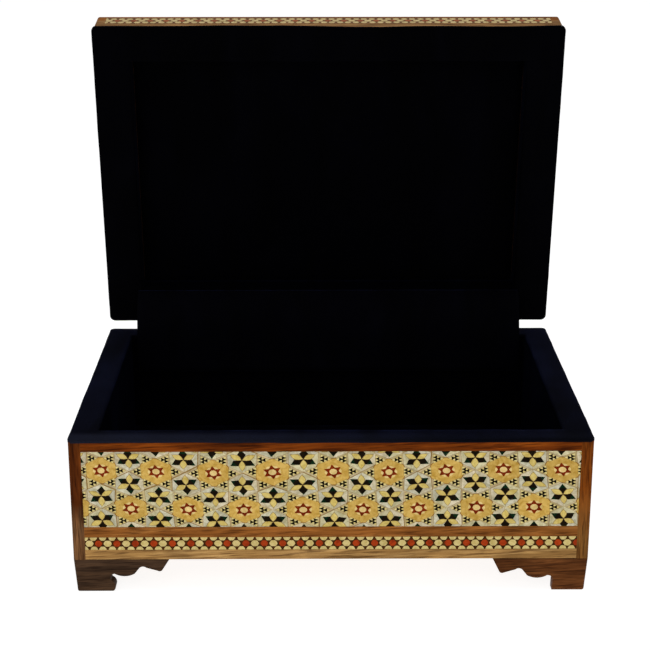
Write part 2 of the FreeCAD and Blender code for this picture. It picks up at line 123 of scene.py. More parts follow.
# The pads: their rounded edge and how it falls away, the most they swell, their grid, and how they swell.
PAD_EDGE = 0.9 * MM
PAD_SLOPE = 0.6
PAD_FALL = 0.9
PAD_CROWN = 1.0 * MM
PAD_COLUMNS = 56
PAD_ROWS = 38
SWELL_STEPS = 20
CLOTH = {
    "quality": 5,
    "vertex_group_mass": "held",
    "use_pressure": True,
    "uniform_pressure_force": 4,
    "tension_stiffness": 8,
    "compression_stiffness": 8,
    "bending_stiffness": 0.4,
    "shrink_min": -0.012,
}

# The flap's section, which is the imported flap's own: flat on the back lining, then two arcs.
FLAP_FLAT = 14 * MM
FLAP_RISE = 28.2 * MM
FLAP_ROLL = 14.25 * MM
FLAP_TURN = radians(35)
FLAP_THICK = 1.0 * MM
FLAP_INSET = 1.7 * MM

# The flap's grid, the rows over which its waves begin and end, the waves' height, and their number per metre
# along and up the flap, place in the noise and share. Its bend begins where its flat part ends.
FLAT_ROWS = 6
ARC_ROWS = 10
FLAP_COLUMNS = 90
WAVES_BEGIN = 6
WAVES_END = 5
FLAP_WAVE = 0.35 * MM
FLAP_WAVES = ((34, 22, 3.7, 1), (90, 60, 8.1, 0.4))

# The stage: the floor's side in metres, and each light's place, target, side and power.
FLOOR_SIDE = 6
LIGHTS = {
    "front_softbox": ((-0.25, -1.3, 0.9), (0, 0, 0.04), 0.9, 5.4),
    "top_softbox": ((0.3, -0.2, 1.5), (0, 0, 0.05), 1.0, 6),
}
# The light that the white backdrop gives, where 1 is as bright as it looks.
BACKDROP_LIGHT = 0.38

# The camera, fitted to the box's outline in the photograph. It looks down and slightly to the right.
SENSOR_WIDTH = 36
FOCAL_LENGTH = 88.09
CAMERA_AT = (-0.00604, -0.63018, 0.28894)
DOWN_DEGREES = 17.717
RIGHT_DEGREES = 0.375


def clamp(value, low=0):
    """A value brought between a low one and 1."""
    return min(1, max(low, value))


def srgb(red, green, blue):
    """A colour as a screen shows it, 0 to 255, as the linear colour a shader takes."""

    def linear(value):
        share = value / 255
        return share / 12.92 if share <= 0.04045 else ((share + 0.055) / 1.055) ** 2.4

    return (linear(red), linear(green), linear(blue), 1)


def closed_box(node):
    """A lid node's lowest and highest corners with the lid closed."""
    back = TO_REST.inverted()
    spots = [back @ vertex.co for vertex in nodes[node].data.vertices]
    low = Vector(min(spot[axis] for spot in spots) for axis in range(3))
    high = Vector(max(spot[axis] for spot in spots) for axis in range(3))
    return low, high


def lining_inside(node, swing):
    """Half the width of the space inside a lining."""
    back = swing.inverted()
    return min(abs((back @ vertex.co).x) for vertex in nodes[node].data.vertices)


# Materials.

WHITE = (1, 1, 1, 1)
# The noises that the materials are made of: scale, detail and distortion.
NOISES = {
    "wood_figure": (520, 6, 1),
    "wood_pores": (1700, 3, 0),
    "wood_clouds": (130, 4, 0.6),
    "inlay_mottling": (420, 6, 1.2),
    "sheet_clouds": (330, 6, 1.6),
    "sheet_veins": (1300, 3, 0),
    "velvet_nap": (58, 4, 0.7),
    "velvet_pile": (2600, 2, 0),
    "brass_patches": (240, 5, 0.5),
    "brass_lines": (3200, 2, 0),
    "floor_grain": (9, 3, 0),
}


def new_material(name):
    material = bpy.data.materials.new(name)
    material.use_nodes = True
    return material, material.node_tree, material.node_tree.nodes["Principled BSDF"]


def fill(node, sockets):
    """Links each named socket that is given another node's output, and sets the others."""
    for name, value in sockets.items():
        if isinstance(value, bpy.types.NodeSocket):
            node.id_data.links.new(value, node.inputs[name])
        else:
            node.inputs[name].default_value = value


def add(tree, kind, sockets, **settings):
    """A new shader node in a tree, which is the id_data of each of its sockets."""
    node = tree.nodes.new("ShaderNode" + kind)
    for name, value in settings.items():
        setattr(node, name, value)
    fill(node, sockets)
    return node


def own_spot(tree):
    """A spot's coordinates on its piece."""
    return add(tree, "TexCoord", {}).outputs["Object"]


def own_place(tree):
    """The same, as X, Y and Z."""
    return add(tree, "SeparateXYZ", {"Vector": own_spot(tree)}).outputs


def place_texture(tree, scale=(1, 1, 1), turn=(0, 0, 0)):
    """Coordinates on a piece, turned and then stretched by a scale."""
    leaning = add(tree, "Mapping", {"Vector": own_spot(tree), "Rotation": turn})
    sockets = {"Vector": leaning.outputs["Vector"], "Scale": scale}
    return add(tree, "Mapping", sockets).outputs["Vector"]


def speckle(spot, kind):
    """The value of one of the noises."""
    scale, detail, distortion = NOISES[kind]
    sockets = {"Vector": spot, "Scale": scale, "Detail": detail, "Distortion": distortion}
    return add(spot.id_data, "TexNoise", sockets).outputs["Fac"]


def ramp(value, stops):
    """Colours along a value, as (place, colour) pairs."""
    node = add(value.id_data, "ValToRGB", {"Fac": value})
    elements = node.color_ramp.elements
    while len(elements) < len(stops):
        elements.new(0.5)
    for element, (spot, colour) in zip(elements, stops):
        element.position = spot
        element.color = colour
    return node.outputs["Color"]


def mix(share, first, second, blend_type="MIX"):
    """Two colours mixed, with a share of the second."""
    sockets = {"Factor": share, "A": first, "B": second}
    node = add(first.id_data, "Mix", sockets, data_type="RGBA", blend_type=blend_type)
    return node.outputs["Result"]


def multiply(first, second, share=1):
    return mix(share, first, second, "MULTIPLY")


def between(value, low, high, start=0, stop=1):
    """A value that runs from start to stop, brought between two others."""
    sockets = {"Value": value, "From Min": start, "From Max": stop, "To Min": low, "To Max": high}
    return add(value.id_data, "MapRange", sockets).outputs["Result"]


def emboss(height, strength, distance):
    """The slopes of a surface with a fine relief."""
    sockets = {"Height": height, "Strength": strength, "Distance": distance}
    return add(height.id_data, "Bump", sockets).outputs["Normal"]


# Each wood's darkest, middle and lightest colour.
WOODS = {
    "top_rail": ((55, 21, 3), (112, 51, 9), (153, 78, 19)),
    "dark_post": ((37, 13, 3), (84, 39, 9), (123, 65, 21)),
    "light_post": ((64, 26, 5), (122, 62, 14), (168, 98, 34)),
    "middle_rail": ((107, 62, 22), (150, 93, 41), (180, 122, 63)),
    "bottom_rail": ((127, 89, 47), (173, 133, 79), (209, 169, 111)),
    "dark_foot": ((40, 28, 20), (66, 48, 35), (92, 68, 48)),
    "red_foot": ((45, 22, 10), (88, 50, 23), (124, 77, 40)),
    "lid_edge": ((116, 84, 50), (158, 118, 74), (188, 146, 98)),
    "carcass": ((120, 86, 52), (160, 122, 80), (186, 150, 106)),
}
# How far the streaks and the clouds are drawn out along the grain.
STREAK_SCALE = 0.06
CLOUD_SCALE = 0.3
# The darkening of a pore and its share, and the tones of the dark and the light clouds.
PORE_TONE = (0.35, 0.3, 0.28, 1)
PORE_SHARE = 0.8
CLOUD_TONES = ((0.62, 0.58, 0.54, 1), (1.2, 1.18, 1.14, 1))
# How far the grain leans off a strip's own length, about the axes that lie across it.
LEAN = {"X": (0, 0.05, 0), "Y": (0.05, 0, 0), "Z": (0.02, 0.02, 0)}
# The posts turn paler towards the floor: the pale colour, the heights between which it gives way, and how
# dark its streaks are.
PALER = {
    "dark_post": ((140, 98, 62), 27 * MM, 37 * MM),
    "light_post": ((164, 112, 54), 20 * MM, 44 * MM),
}
PALE_STREAK = 0.72


def turn_paler(tree, colour, figure, pale, low, high):
    """A colour that gives way to a paler one between two heights, unevenly along the grain."""
    sockets = {0: figure, 1: high - low, 2: own_place(tree)["Z"]}
    uneven = add(tree, "Math", sockets, operation="MULTIPLY_ADD").outputs["Value"]
    share = between(uneven, 1, 0, low + (high - low) / 2, high + (high - low) / 2)
    streak = [value * PALE_STREAK for value in pale]
    pale_tone = ramp(figure, [(0.36, srgb(*streak)), (0.62, srgb(*pale))])
    return mix(share, colour, pale_tone)


def drawn_out(grain, share):
    """A texture's scale that draws it out along the grain."""
    scale = [1, 1, 1]
    scale["XYZ".index(grain)] = share
    return scale


@cache
def wood(kind, grain, lid=False):
    """Oiled wood: streaks along the grain, fine dark pores, broad clouds and a thin satin coat."""
    material, tree, shader = new_material("_".join(("wood", kind, grain, "lid" if lid else "box")))
    turn = (lid_open, 0, 0) if lid else LEAN[grain]
    spot = place_texture(tree, drawn_out(grain, STREAK_SCALE), turn)
    dark, middle, light = (srgb(*colour) for colour in WOODS[kind])
    figure = speckle(spot, "wood_figure")
    tone = ramp(figure, [(0.22, dark), (0.5, middle), (0.79, light)])
    if kind in PALER:
        tone = turn_paler(tree, tone, figure, *PALER[kind])
    pores = speckle(spot, "wood_pores")
    pore_tone = ramp(pores, [(0.36, PORE_TONE), (0.5, WHITE)])
    clouds = speckle(place_texture(tree, drawn_out(grain, CLOUD_SCALE), turn), "wood_clouds")
    cloud_tone = ramp(clouds, [(0.34, CLOUD_TONES[0]), (0.66, CLOUD_TONES[1])])
    fill(shader, {
        "Base Color": multiply(multiply(tone, pore_tone, PORE_SHARE), cloud_tone),
        "Roughness": between(figure, low=0.34, high=0.52),
        "Specular IOR Level": 0.01,
        "Coat Weight": 0.025,
        "Coat Roughness": 0.25,
        "Normal": emboss(pores, strength=0.25, distance=0.12 * MM),
    })
    return material


# Each tessera's darker and lighter colour.
TESSERAE = {
    "point_bone": ((172, 154, 112), (206, 189, 149)),
    "star_bone": ((175, 168, 135), (217, 209, 181)),
    "joint": ((122, 94, 50), (158, 127, 76)),
    "gold": ((182, 141, 55), (216, 179, 95)),
    "gold_edge": ((128, 86, 26), (156, 110, 42)),
    "cream": ((194, 168, 84), (222, 200, 120)),
    "dotted": ((206, 186, 112), (232, 216, 148)),
    "dark_red": ((92, 22, 0), (136, 44, 4)),
    "heart": ((208, 178, 108), (238, 210, 142)),
    "strip_cream": ((192, 170, 102), (220, 200, 136)),
    "strip_red": ((136, 41, 12), (177, 64, 21)),
    "black": ((12, 7, 1), (26, 18, 5)),
    "green": ((3, 22, 9), (10, 42, 20)),
    "ground": ((42, 23, 5), (78, 44, 12)),
    # The lid band's cream, red and ground are paler and flatter than the box's: painted glare, the lacquer's
    # reflection at a grazing angle.
    "worn_cream": ((194, 168, 114), (224, 202, 148)),
    "worn_red": ((140, 74, 44), (172, 100, 64)),
    "glare_washed_ground": ((88, 58, 36), (124, 88, 56)),
}
# Pink, white and yellow bone, one of which each bone tessera gets.
BONE_TINTS = (Vector((1.03, 0.985, 0.95)), Vector((0.985, 1.01, 1.04)), Vector((1.01, 0.995, 0.85)))
NO_TINT = Vector((1, 1, 1))
# How far the shades of the pieces lie apart: those of bone, and all the others.
BONE_SHADES = (0.8, 1.06)
SHADES = (0.88, 1.02)
# The darkening along the veins of a packed inlay sheet.
VEIN_TONE = (0.9, 0.88, 0.82, 1)


def polish(shader, colour, mottling, relief, strength):
    """The finish of all inlay: rubbed flush, rougher in places, under lacquer."""
    fill(shader, {
        "Base Color": colour,
        "Roughness": between(mottling, low=0.22, high=0.4),
        "Specular IOR Level": 0.01,
        "Coat Weight": 0.035,
        "Coat Roughness": 0.14,
        "Normal": emboss(relief, strength, distance=0.05 * MM),
    })


@cache
def tessera_material(kind):
    """Bone, wood or metal, mottled, with a shade of its own for each piece."""
    material, tree, shader = new_material(f"inlay_{kind}")
    dark, light = (srgb(*colour) for colour in TESSERAE[kind])
    mottling = speckle(place_texture(tree), "inlay_mottling")
    tone = ramp(mottling, [(0.3, dark), (0.66, light)])
    shade = add(tree, "Attribute", {}, attribute_name="shade").outputs["Color"]
    polish(shader, multiply(tone, shade), mottling, mottling, strength=0.12)
    return material


def sheet_material(kind):
    """A packed inlay sheet, which shows between the tesserae."""
    material, tree, shader = new_material(f"inlay_sheet_{kind}")
    dark, light = (srgb(*colour) for colour in TESSERAE[kind])
    spot = place_texture(tree)
    clouds = speckle(spot, "sheet_clouds")
    veins = speckle(spot, "sheet_veins")
    tone = ramp(clouds, [(0.3, dark), (0.62, light)])
    vein_tone = ramp(veins, [(0.3, VEIN_TONE), (0.46, WHITE)])
    polish(shader, multiply(tone, vein_tone), clouds, veins, strength=0.1)
    return material


def paint_front_edge_sheen(tree, colour):
    """A painted sheen: the pile made paler towards the box's front edge, more on the left."""
    place = own_place(tree)
    front = -frame_half.y
    near = between(place["Y"], 1, 0, front + SHEEN_EDGE_WIDE / 2, front + SHEEN_EDGE_WIDE)
    left = between(place["X"], 1, SHEEN_EDGE_LEAST, -frame_half.x / 2, frame_half.x / 2)
    share = add(tree, "Math", {0: near, 1: left}, operation="MULTIPLY").outputs["Value"]
    return mix(share, colour, srgb(*SHEEN_EDGE_TONE))


# Velvet's colour where its nap lies dark, between and light, the stretch of the nap's patches, the tones low
# in the pile and on it, and the tint of the sheen.
NAP_TONES = ((1, 1, 3), (2, 2, 6), (4, 4, 10))
NAP_SCALE = (1, 0.45, 0.45)
PILE_TONES = ((0.55, 0.55, 0.6, 1), (1.3, 1.3, 1.35, 1))
SHEEN_TINT = (62, 76, 140)


def velvet_material(name, sheen, depth, edge_sheen=False):
    """Navy velvet: a deep pile that lightens where the nap is brushed and along grazing edges."""
    material, tree, shader = new_material(name)
    nap = speckle(place_texture(tree, NAP_SCALE), "velvet_nap")
    pile = speckle(place_texture(tree), "velvet_pile")
    # A depth below 1 darkens the whole colour as painted shade.
    low, middle, high = (srgb(*(value * depth for value in tone)) for tone in NAP_TONES)
    colour = ramp(nap, [(0.3, low), (0.55, middle), (0.8, high)])
    # A painted sheen can pale the pile along the box's front edge.
    if edge_sheen:
        colour = paint_front_edge_sheen(tree, colour)
    grain = ramp(pile, [(0.3, PILE_TONES[0]), (0.7, PILE_TONES[1])])
    fill(shader, {
        "Base Color": multiply(colour, grain),
        "Roughness": between(pile, low=0.86, high=1),
        "Specular IOR Level": 0.05 * depth,
        "Sheen Weight": between(nap, low=0.4 * sheen, high=1.6 * sheen, start=0.3, stop=0.7),
        "Sheen Roughness": 0.3,
        "Sheen Tint": srgb(*SHEEN_TINT),
        "Normal": emboss(pile, strength=0.6, distance=0.25 * MM),
    })
    return material


# Dull and bright brass, and how far its drawing lines are stretched.
DULL_BRASS = (126, 92, 44)
BRIGHT_BRASS = (212, 172, 98)
LINE_SCALE = (0.05, 1, 1)


def brass_material():
    """Brass that has dulled in patches, with fine drawing lines."""
    material, tree, shader = new_material("aged_brass")
    patches = speckle(place_texture(tree), "brass_patches")
    lines = speckle(place_texture(tree, LINE_SCALE), "brass_lines")
    fill(shader, {
        "Base Color": ramp(patches, [(0.32, srgb(*DULL_BRASS)), (0.62, srgb(*BRIGHT_BRASS))]),
        "Roughness": between(patches, low=0.46, high=0.24),
        "Metallic": 1,
        "Normal": emboss(lines, strength=0.12, distance=0.05 * MM),
    })
    return material


# The floor's two greys and the light that it gives.
FLOOR_TONES = ((0.33, 0.33, 0.33, 1), (0.35, 0.35, 0.35, 1))
FLOOR_LIGHT = 0.88


def floor_material():
    """A matt floor that shows as white where nothing shades it."""
    material, tree, shader = new_material("pale_floor")
    grain = speckle(place_texture(tree), "floor_grain")
    fill(shader, {
        "Base Color": ramp(grain, [(0.3, FLOOR_TONES[0]), (0.7, FLOOR_TONES[1])]),
        "Roughness": 0.9,
        "Specular IOR Level": 0,
        "Emission Color": WHITE,
        "Emission Strength": FLOOR_LIGHT,
    })
    return material


def finish_node(node, material):
    slots = nodes[node].data.materials
    slots.clear()
    slots.append(material)


def finish_cad_nodes():
    """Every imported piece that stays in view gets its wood, inlay ground or brass."""
    for face, grain in (("front", "X"), ("back", "X"), ("left", "Y"), ("right", "Y")):
        for level in ("top", "middle", "bottom"):
            finish_node(f"{face}_{level}_rail", wood(f"{level}_rail", grain))
        finish_node(f"{face}_wall", wood("carcass", grain))
        finish_node(f"{face}_inlay_panel", glue_sheet)
        finish_node(f"{face}_inlay_border", dark_sheet)
        finish_node(f"lid_{face}_wall", wood("lid_edge", grain, lid=True))
        # The lid's inlay ground is paler too: painted glare.
        finish_node(f"lid_{face}_inlay", glare_washed_sheet)
    for side, post, foot in (("left", "dark_post", "dark_foot"), ("right", "light_post", "red_foot")):
        for end in ("front", "back"):
            finish_node(f"{end}_{side}_post", wood(post, "Z"))
            finish_node(f"{end}_{side}_foot", wood(foot, "X"))
        for part in ("box_leaf", "lid_leaf", "pin"):
            finish_node(f"{side}_hinge_{part}", brass)
    finish_node("box_hinge_screws", brass)
    finish_node("lid_hinge_screws", brass)
    finish_node("bottom_board", wood("carcass", "X"))
    finish_node("lid_board", wood("middle_rail", "X", lid=True))
    finish_node("lid_top_inlay", glue_sheet)


# Meshes.


def to_data(mesh, name):
    """A finished mesh as an object's data."""
    data = bpy.data.meshes.new(name)
    mesh.to_mesh(data)
    mesh.free()
    return data


def new_object(name, mesh, materials):
    piece = bpy.data.objects.new(name, mesh)
    for material in materials:
        mesh.materials.append(material)
    bpy.context.scene.collection.objects.link(piece)
    return piece


def join_rows(mesh, rows):
    """Faces between rows of points."""
    for row, after in zip(rows, rows[1:]):
        for index in range(len(row) - 1):
            mesh.faces.new((row[index], row[index + 1], after[index + 1], after[index]))


def clip(outline, low, high):
    """The part of a convex outline inside a rectangle."""
    for axis in (0, 1):
        for limit, sign in ((low[axis], 1), (high[axis], -1)):
            kept = []
            for here, after in zip(outline, outline[1:] + outline[:1]):
                inside = (here[axis] - limit) * sign
                inside_after = (after[axis] - limit) * sign
                if inside >= 0:
                    kept.append(here)
                if inside * inside_after < 0:
                    kept.append(here.lerp(after, inside / (inside - inside_after)))
            outline = kept
            if len(outline) < 3:
                return []
    return outline


def spread(outline):
    """The area of a flat outline."""
    pairs = zip(outline, outline[1:] + outline[:1])
    return abs(sum(here.x * after.y - here.y * after.x for here, after in pairs)) / 2


# Inlay.


class Mosaic:
    """Tesserae laid on one flat panel: thin prisms of one mesh, with a material for each colour."""

    def __init__(self, name, corner, right, up, seed):
        self.name = name
        self.corner = corner
        self.right = right
        self.up = up
        self.out = right.cross(up)
        self.seed = seed
        self.chance = random.Random(seed)
        self.mesh = bmesh.new()
        self.shade = self.mesh.faces.layers.float_vector.new("shade")
        self.kinds = []

    def lay(self, outline, kind, level, low, high):
        """One tessera, cut off at the panel's edge."""
        outline = clip(outline, low, high)
        if not outline or spread(outline) < TESSERA_LEAST ** 2:
            return
        if kind not in self.kinds:
            self.kinds.append(kind)
        is_bone = kind.endswith("bone")
        tint = self.chance.choice(BONE_TINTS) if is_bone else NO_TINT
        shade = tint * self.chance.uniform(*(BONE_SHADES if is_bone else SHADES))
        count = len(outline)
        rings = []
        for height in (-TESSERA_SUNK, level * TESSERA_STEP):
            rings.append([self.mesh.verts.new(self.lift(spot, height)) for spot in outline])
        faces = [rings[1], rings[0][::-1]]
        for index in range(count):
            after = (index + 1) % count
            faces.append([rings[0][index], rings[0][after], rings[1][after], rings[1][index]])
        for corners in faces:
            face = self.mesh.faces.new(corners)
            face.material_index = self.kinds.index(kind)
            face[self.shade] = shade

    def lift(self, spot, height):
        return self.corner + self.right * spot.x + self.up * spot.y + self.out * height

    def done(self, body, swing=STAY):
        data = to_data(self.mesh, self.name)
        data.transform(swing)
        piece = new_object(self.name, data, [tessera_material(kind) for kind in self.kinds])
        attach(piece, body)


def turned(spots, centre, angle, flatness):
    """Spots about a centre, turned and then flattened in height."""
    turn = Matrix.Rotation(angle, 2)
    made = []
    for spot in spots:
        moved = turn @ Vector(spot)
        made.append(centre + Vector((moved.x, moved.y * flatness)))
    return made


def polygon(count, radius):
    angles = [2 * pi * step / count for step in range(count)]
    return [Vector((cos(angle), sin(angle))) * radius for angle in angles]


def ellipse(middle, half_long, half_wide):
    corners = 10
    return [(middle + half_long * spot.x, half_wide * spot.y) for spot in polygon(corners, 1)]


def leaf(start, stop, half):
    """A pointed oval between two places along the first direction."""
    steps = 4
    pointed = 1.15
    spots = []
    for side in (-1, 1):
        for step in range(steps):
            share = step / steps if side < 0 else 1 - step / steps
            out = side * half * sin(pi * share) ** pointed
            spots.append((start + (stop - start) * share, out))
    return spots


def outgrow(spots, margin):
    """An outline moved outwards from its middle."""
    spots = [Vector(spot) for spot in spots]
    middle = sum(spots, Vector((0, 0))) / len(spots)
    return [spot + (spot - middle).normalized() * margin for spot in spots]


def soft_hexagon(chance, radius, worn):
    """A hexagon with its corners worn round by an angle, a little out of shape."""
    least, most = 0.95, 1.01
    spots = []
    for step in range(6):
        for side in (-worn, worn):
            angle = SIXTH * step + side
            spots.append(Vector((cos(angle), sin(angle))) * radius * chance.uniform(least, most))
    return spots


def drift(spot, seed):
    """Where a spot of the pattern lies in a sheet that was glued up by hand."""
    place = spot.to_3d() / DRIFT_LONG
    along = noise.noise(place + Vector((0, 0, DRIFT_ALONG_AT + seed)))
    across = noise.noise(place + Vector((0, 0, DRIFT_ACROSS_AT + seed)))
    return spot + Vector((along * DRIFT_ALONG, across * DRIFT_ACROSS))


# The pattern's figures are drawn in pitches and radians. First the glue: how far bone stays back from its
# room, how wide a glue line is, and how many levels lower it lies.
BONE_GAP = 0.0055
GLUE_LINE = 0.009
LINE_LOWER = 0.1
# The level of each tessera above its panel. Those that overlap lie on different levels.
LEVELS = {
    "ground": 1, "hexagon": 2,
    "point": 0.8, "gold_edge": 1.8, "gold": 2, "petal": 3, "red_star": (4, 4.5), "heart": 5,
    "triangle": 3, "dot": 4,
    "dark_rhombus": 2, "green_tip": 3, "light_rhombus": 4,
}
# How much higher each of three like pieces lies than the one before.
DARK_RISE = 0.1
LIGHT_RISE = 0.25


class Motif:
    """One figure of the pattern, drawn about its centre in pitches and laid a little out of true."""

    def __init__(self, mosaic, centre, flatness, low, high):
        self.mosaic = mosaic
        self.centre = centre
        self.flatness = flatness
        self.panel = (low, high)

    def lay(self, spots, angle, kind, level):
        grown = [Vector(spot) * ROSETTE_PITCH for spot in spots]
        placed = turned(grown, self.centre, angle, self.flatness)
        self.mosaic.lay([drift(spot, self.mosaic.seed) for spot in placed], kind, level, *self.panel)

    def lay_lined(self, spots, angle, kind, level):
        """A tessera with the thin brown line of its glue round it."""
        self.lay(outgrow(spots, GLUE_LINE), angle, "joint", level - LINE_LOWER)
        self.lay(spots, angle, kind, level)

    def vary(self, low, high):
        return self.mosaic.chance.uniform(low, high)

    def lean(self, most):
        return self.vary(-most, most)


# A rosette: its gold hexagon with the wear of its corners and its dark edge, a bone point's reach, a dotted
# triangle's gap to the gold and its lean, and the red star's spin, petals, points and heart.
GOLD_RADIUS = 0.305
GOLD_WORN = 0.1
GOLD_EDGE = 0.014
POINT_REACH = 0.5
TRIANGLE_GAP = 0.006
TRIANGLE_LEAN = 0.05
STAR_SPIN = 0.2
PETAL = (0.122, 0.024, 0.043)
RED_REACH = 0.164
HEART_RADIUS = 0.067
HEART_CORNERS = 9


def lay_rosette(motif):
    """A gold hexagon with a red star in it, and a bone point with a dotted triangle on each of its edges."""
    upright = pi / 6
    corner = (GOLD_RADIUS * cos(upright), GOLD_RADIUS / 2)
    for angle in [SIXTH * step for step in range(6)]:
        point = [(corner[0], -corner[1]), (POINT_REACH, 0), corner]
        motif.lay(outgrow(point, -BONE_GAP), angle, "point_bone", LEVELS["point"])
        lay_dotted(motif, corner[0] + TRIANGLE_GAP, angle + motif.lean(TRIANGLE_LEAN))
    hexagon = soft_hexagon(motif.mosaic.chance, GOLD_RADIUS, GOLD_WORN)
    motif.lay(outgrow(hexagon, GOLD_EDGE), upright, "gold_edge", LEVELS["gold_edge"])
    motif.lay(hexagon, upright, "gold", LEVELS["gold"])
    spin = upright + motif.lean(STAR_SPIN)
    for step in range(6):
        motif.lay(ellipse(*PETAL), spin + upright + SIXTH * step, "heart", LEVELS["petal"])
    for turn, level in zip((0, SIXTH), LEVELS["red_star"]):
        motif.lay(polygon(3, RED_REACH), spin + turn, "dark_red", level)
    motif.lay(polygon(HEART_CORNERS, HEART_RADIUS), spin, "heart", LEVELS["heart"])


# A dotted triangle's side, and how far its dots spread past their room.
TRIANGLE_SIDE = 0.202
DOT_SPREAD = 0.012


def lay_dotted(motif, base, angle):
    """A cream triangle of nine small ones, three of them black."""
    tall = TRIANGLE_SIDE * sqrt(3) / 2
    small_tall = tall / 3
    small_half = TRIANGLE_SIDE / 6
    triangle = [(base, -TRIANGLE_SIDE / 2), (base + tall, 0), (base, TRIANGLE_SIDE / 2)]
    motif.lay_lined(triangle, angle, "dotted", LEVELS["triangle"])
    for row, across in ((0, -1), (0, 1), (1, 0)):
        inner = base + row * small_tall
        outer = inner + small_tall
        middle = across * small_half
        dot = [(inner, middle), (outer, middle - small_half), (outer, middle + small_half)]
        motif.lay(outgrow(dot, DOT_SPREAD), angle, "black", LEVELS["dot"] + (across + 1) * DARK_RISE)


# A star: its bone's reach towards a rosette, how far a rhombus leans, a dark one's widest place, half width,
# reach and start of its green tip, and a light one's start, reach and half width.
BONE_REACH = 0.272
RHOMBUS_LEAN = 0.1
DARK_WIDEST = 0.12
DARK_HALF = 0.078
DARK_REACH = (0.225, 0.25)
GREEN_FROM = (0.13, 0.2)
LIGHT_FROM = 0.012
LIGHT_REACH = (0.21, 0.24)
LIGHT_HALF = (0.05, 0.06)


def lay_star(motif, first, level):
    """Three cream rhombi between three dark ones with green tips, on six pieces of bone."""
    to_point = Matrix.Rotation(SIXTH, 2) @ Vector((POINT_REACH / sqrt(3), 0))
    for step in range(3):
        light = first + step * 2 * pi / 3
        dark = light + SIXTH
        for sign in (-1, 1):
            sector = [(0, 0), (to_point.x, sign * to_point.y), (BONE_REACH, 0)]
            motif.lay(outgrow(sector, -BONE_GAP)[::-sign], dark, "star_bone", level)
        lean = dark + motif.lean(RHOMBUS_LEAN)
        reach = motif.vary(*DARK_REACH)
        green_from = motif.vary(*GREEN_FROM)
        green_half = DARK_HALF * (reach - green_from) / (reach - DARK_WIDEST)
        kite = [(0, 0), (DARK_WIDEST, -DARK_HALF), (reach, 0), (DARK_WIDEST, DARK_HALF)]
        motif.lay(kite, lean, "black", LEVELS["dark_rhombus"] + step * DARK_RISE)
        tip = [(green_from, -green_half), (reach, 0), (green_from, green_half)]
        motif.lay(tip, lean, "green", LEVELS["green_tip"])
        rhombus = leaf(LIGHT_FROM, motif.vary(*LIGHT_REACH), motif.vary(*LIGHT_HALF))
        light_level = LEVELS["light_rhombus"] + step * LIGHT_RISE
        motif.lay_lined(rhombus, light + motif.lean(RHOMBUS_LEAN), "cream", light_level)


# The two stars beside a rosette: their place in pitches and rises, the way their first rhombus points, and
# their bone's level, which keeps the bone of two stars that meet apart.
STARS = ((0, 1, pi / 2, 1), (0.5, 0.5, -pi / 2, 1.2))
# The least room, in pitches, at both ends of a row together, and how many figures are laid past a panel's
# edge, so that those it cuts are there too.
END_ROOM = 0.55
BEYOND = 2


def lay_rosette_field(mosaic, low, high, first_row, flatness):
    """Rows of rosettes, each row half a pitch from the last, with stars where three rosettes meet."""
    pitch = ROSETTE_PITCH
    row_step = pitch * sqrt(3) / 2 * flatness
    rise = pitch / sqrt(3) * flatness
    width = high.x - low.x
    count = int((width - END_ROOM * pitch) / pitch) + 1
    margin = (width - (count - 1) * pitch) / 2
    rows = int((high.y - low.y) / row_step) + 1
    for row in range(-BEYOND, rows + BEYOND):
        level = high.y - first_row - row * row_step
        shift = margin if row % 2 == 0 else margin + pitch / 2
        for column in range(-BEYOND, count + BEYOND):
            slip = Vector((mosaic.chance.uniform(-1, 1), mosaic.chance.uniform(-1, 1))) * ROSETTE_SLIP
            centre = Vector((low.x + ROWS_OFF + shift + column * pitch, level)) + slip
            lay_rosette(Motif(mosaic, centre, flatness, low, high))
            for x_step, y_step, first, bone_level in STARS:
                star = centre + Vector((x_step * pitch, y_step * rise))
                lay_star(Motif(mosaic, star, flatness, low, high), first, bone_level)


# A band's hexagons: each kind's share of its room and its flatness, and the wear of their corners.
HEXAGONS = {"outer": (0.81, 0.94), "cream": (0.89, 0.87), "red": (0.8, 0.96)}
HEXAGON_WORN = 0.16


def lay_hexagon_band(mosaic, low, high, pitch, finish, along_y=False):
    """Hexagons that touch at their corners, red and cream by turns in the middle row, on a dark ground."""
    radius = pitch / 2
    row_step = radius * sqrt(3) * ROSETTE_FLATNESS
    start, stop = (low.y, high.y) if along_y else (low.x, high.x)
    across = (low.x + high.x) / 2 if along_y else (low.y + high.y) / 2
    count = int((stop - start) / pitch) + 1
    for row in (-1, 0, 1):
        for column in range(-1, count + BEYOND):
            run = start + HEXAGON_START + column * pitch + abs(row) * radius
            run += mosaic.chance.uniform(-HEXAGON_SLIP, HEXAGON_SLIP)
            is_red = row == 0 and column % 2 == 1
            share, flatness = HEXAGONS["outer" if row else "red" if is_red else "cream"]
            shape = soft_hexagon(mosaic.chance, radius * share, HEXAGON_WORN)
            shape = turned(shape, Vector((run, across + row * row_step)), 0, flatness)
            if along_y:
                shape = [spot.yx for spot in reversed(shape)]
            mosaic.lay(shape, finish + ("_red" if is_red else "_cream"), LEVELS["hexagon"], low, high)


UP = Vector((0, 0, 1))
# Each face's direction along it, seen from outside, from left to right.
FACES = {
    "front": Vector((1, 0, 0)),
    "right": Vector((0, 1, 0)),
    "back": Vector((-1, 0, 0)),
    "left": Vector((0, -1, 0)),
}
# The seeds of the front's mosaics and of the lid's top. The other faces count on from the front's.
SEEDS = {"panel": 0, "border": 10, "lid_edge": 20, "lid_top": 30}


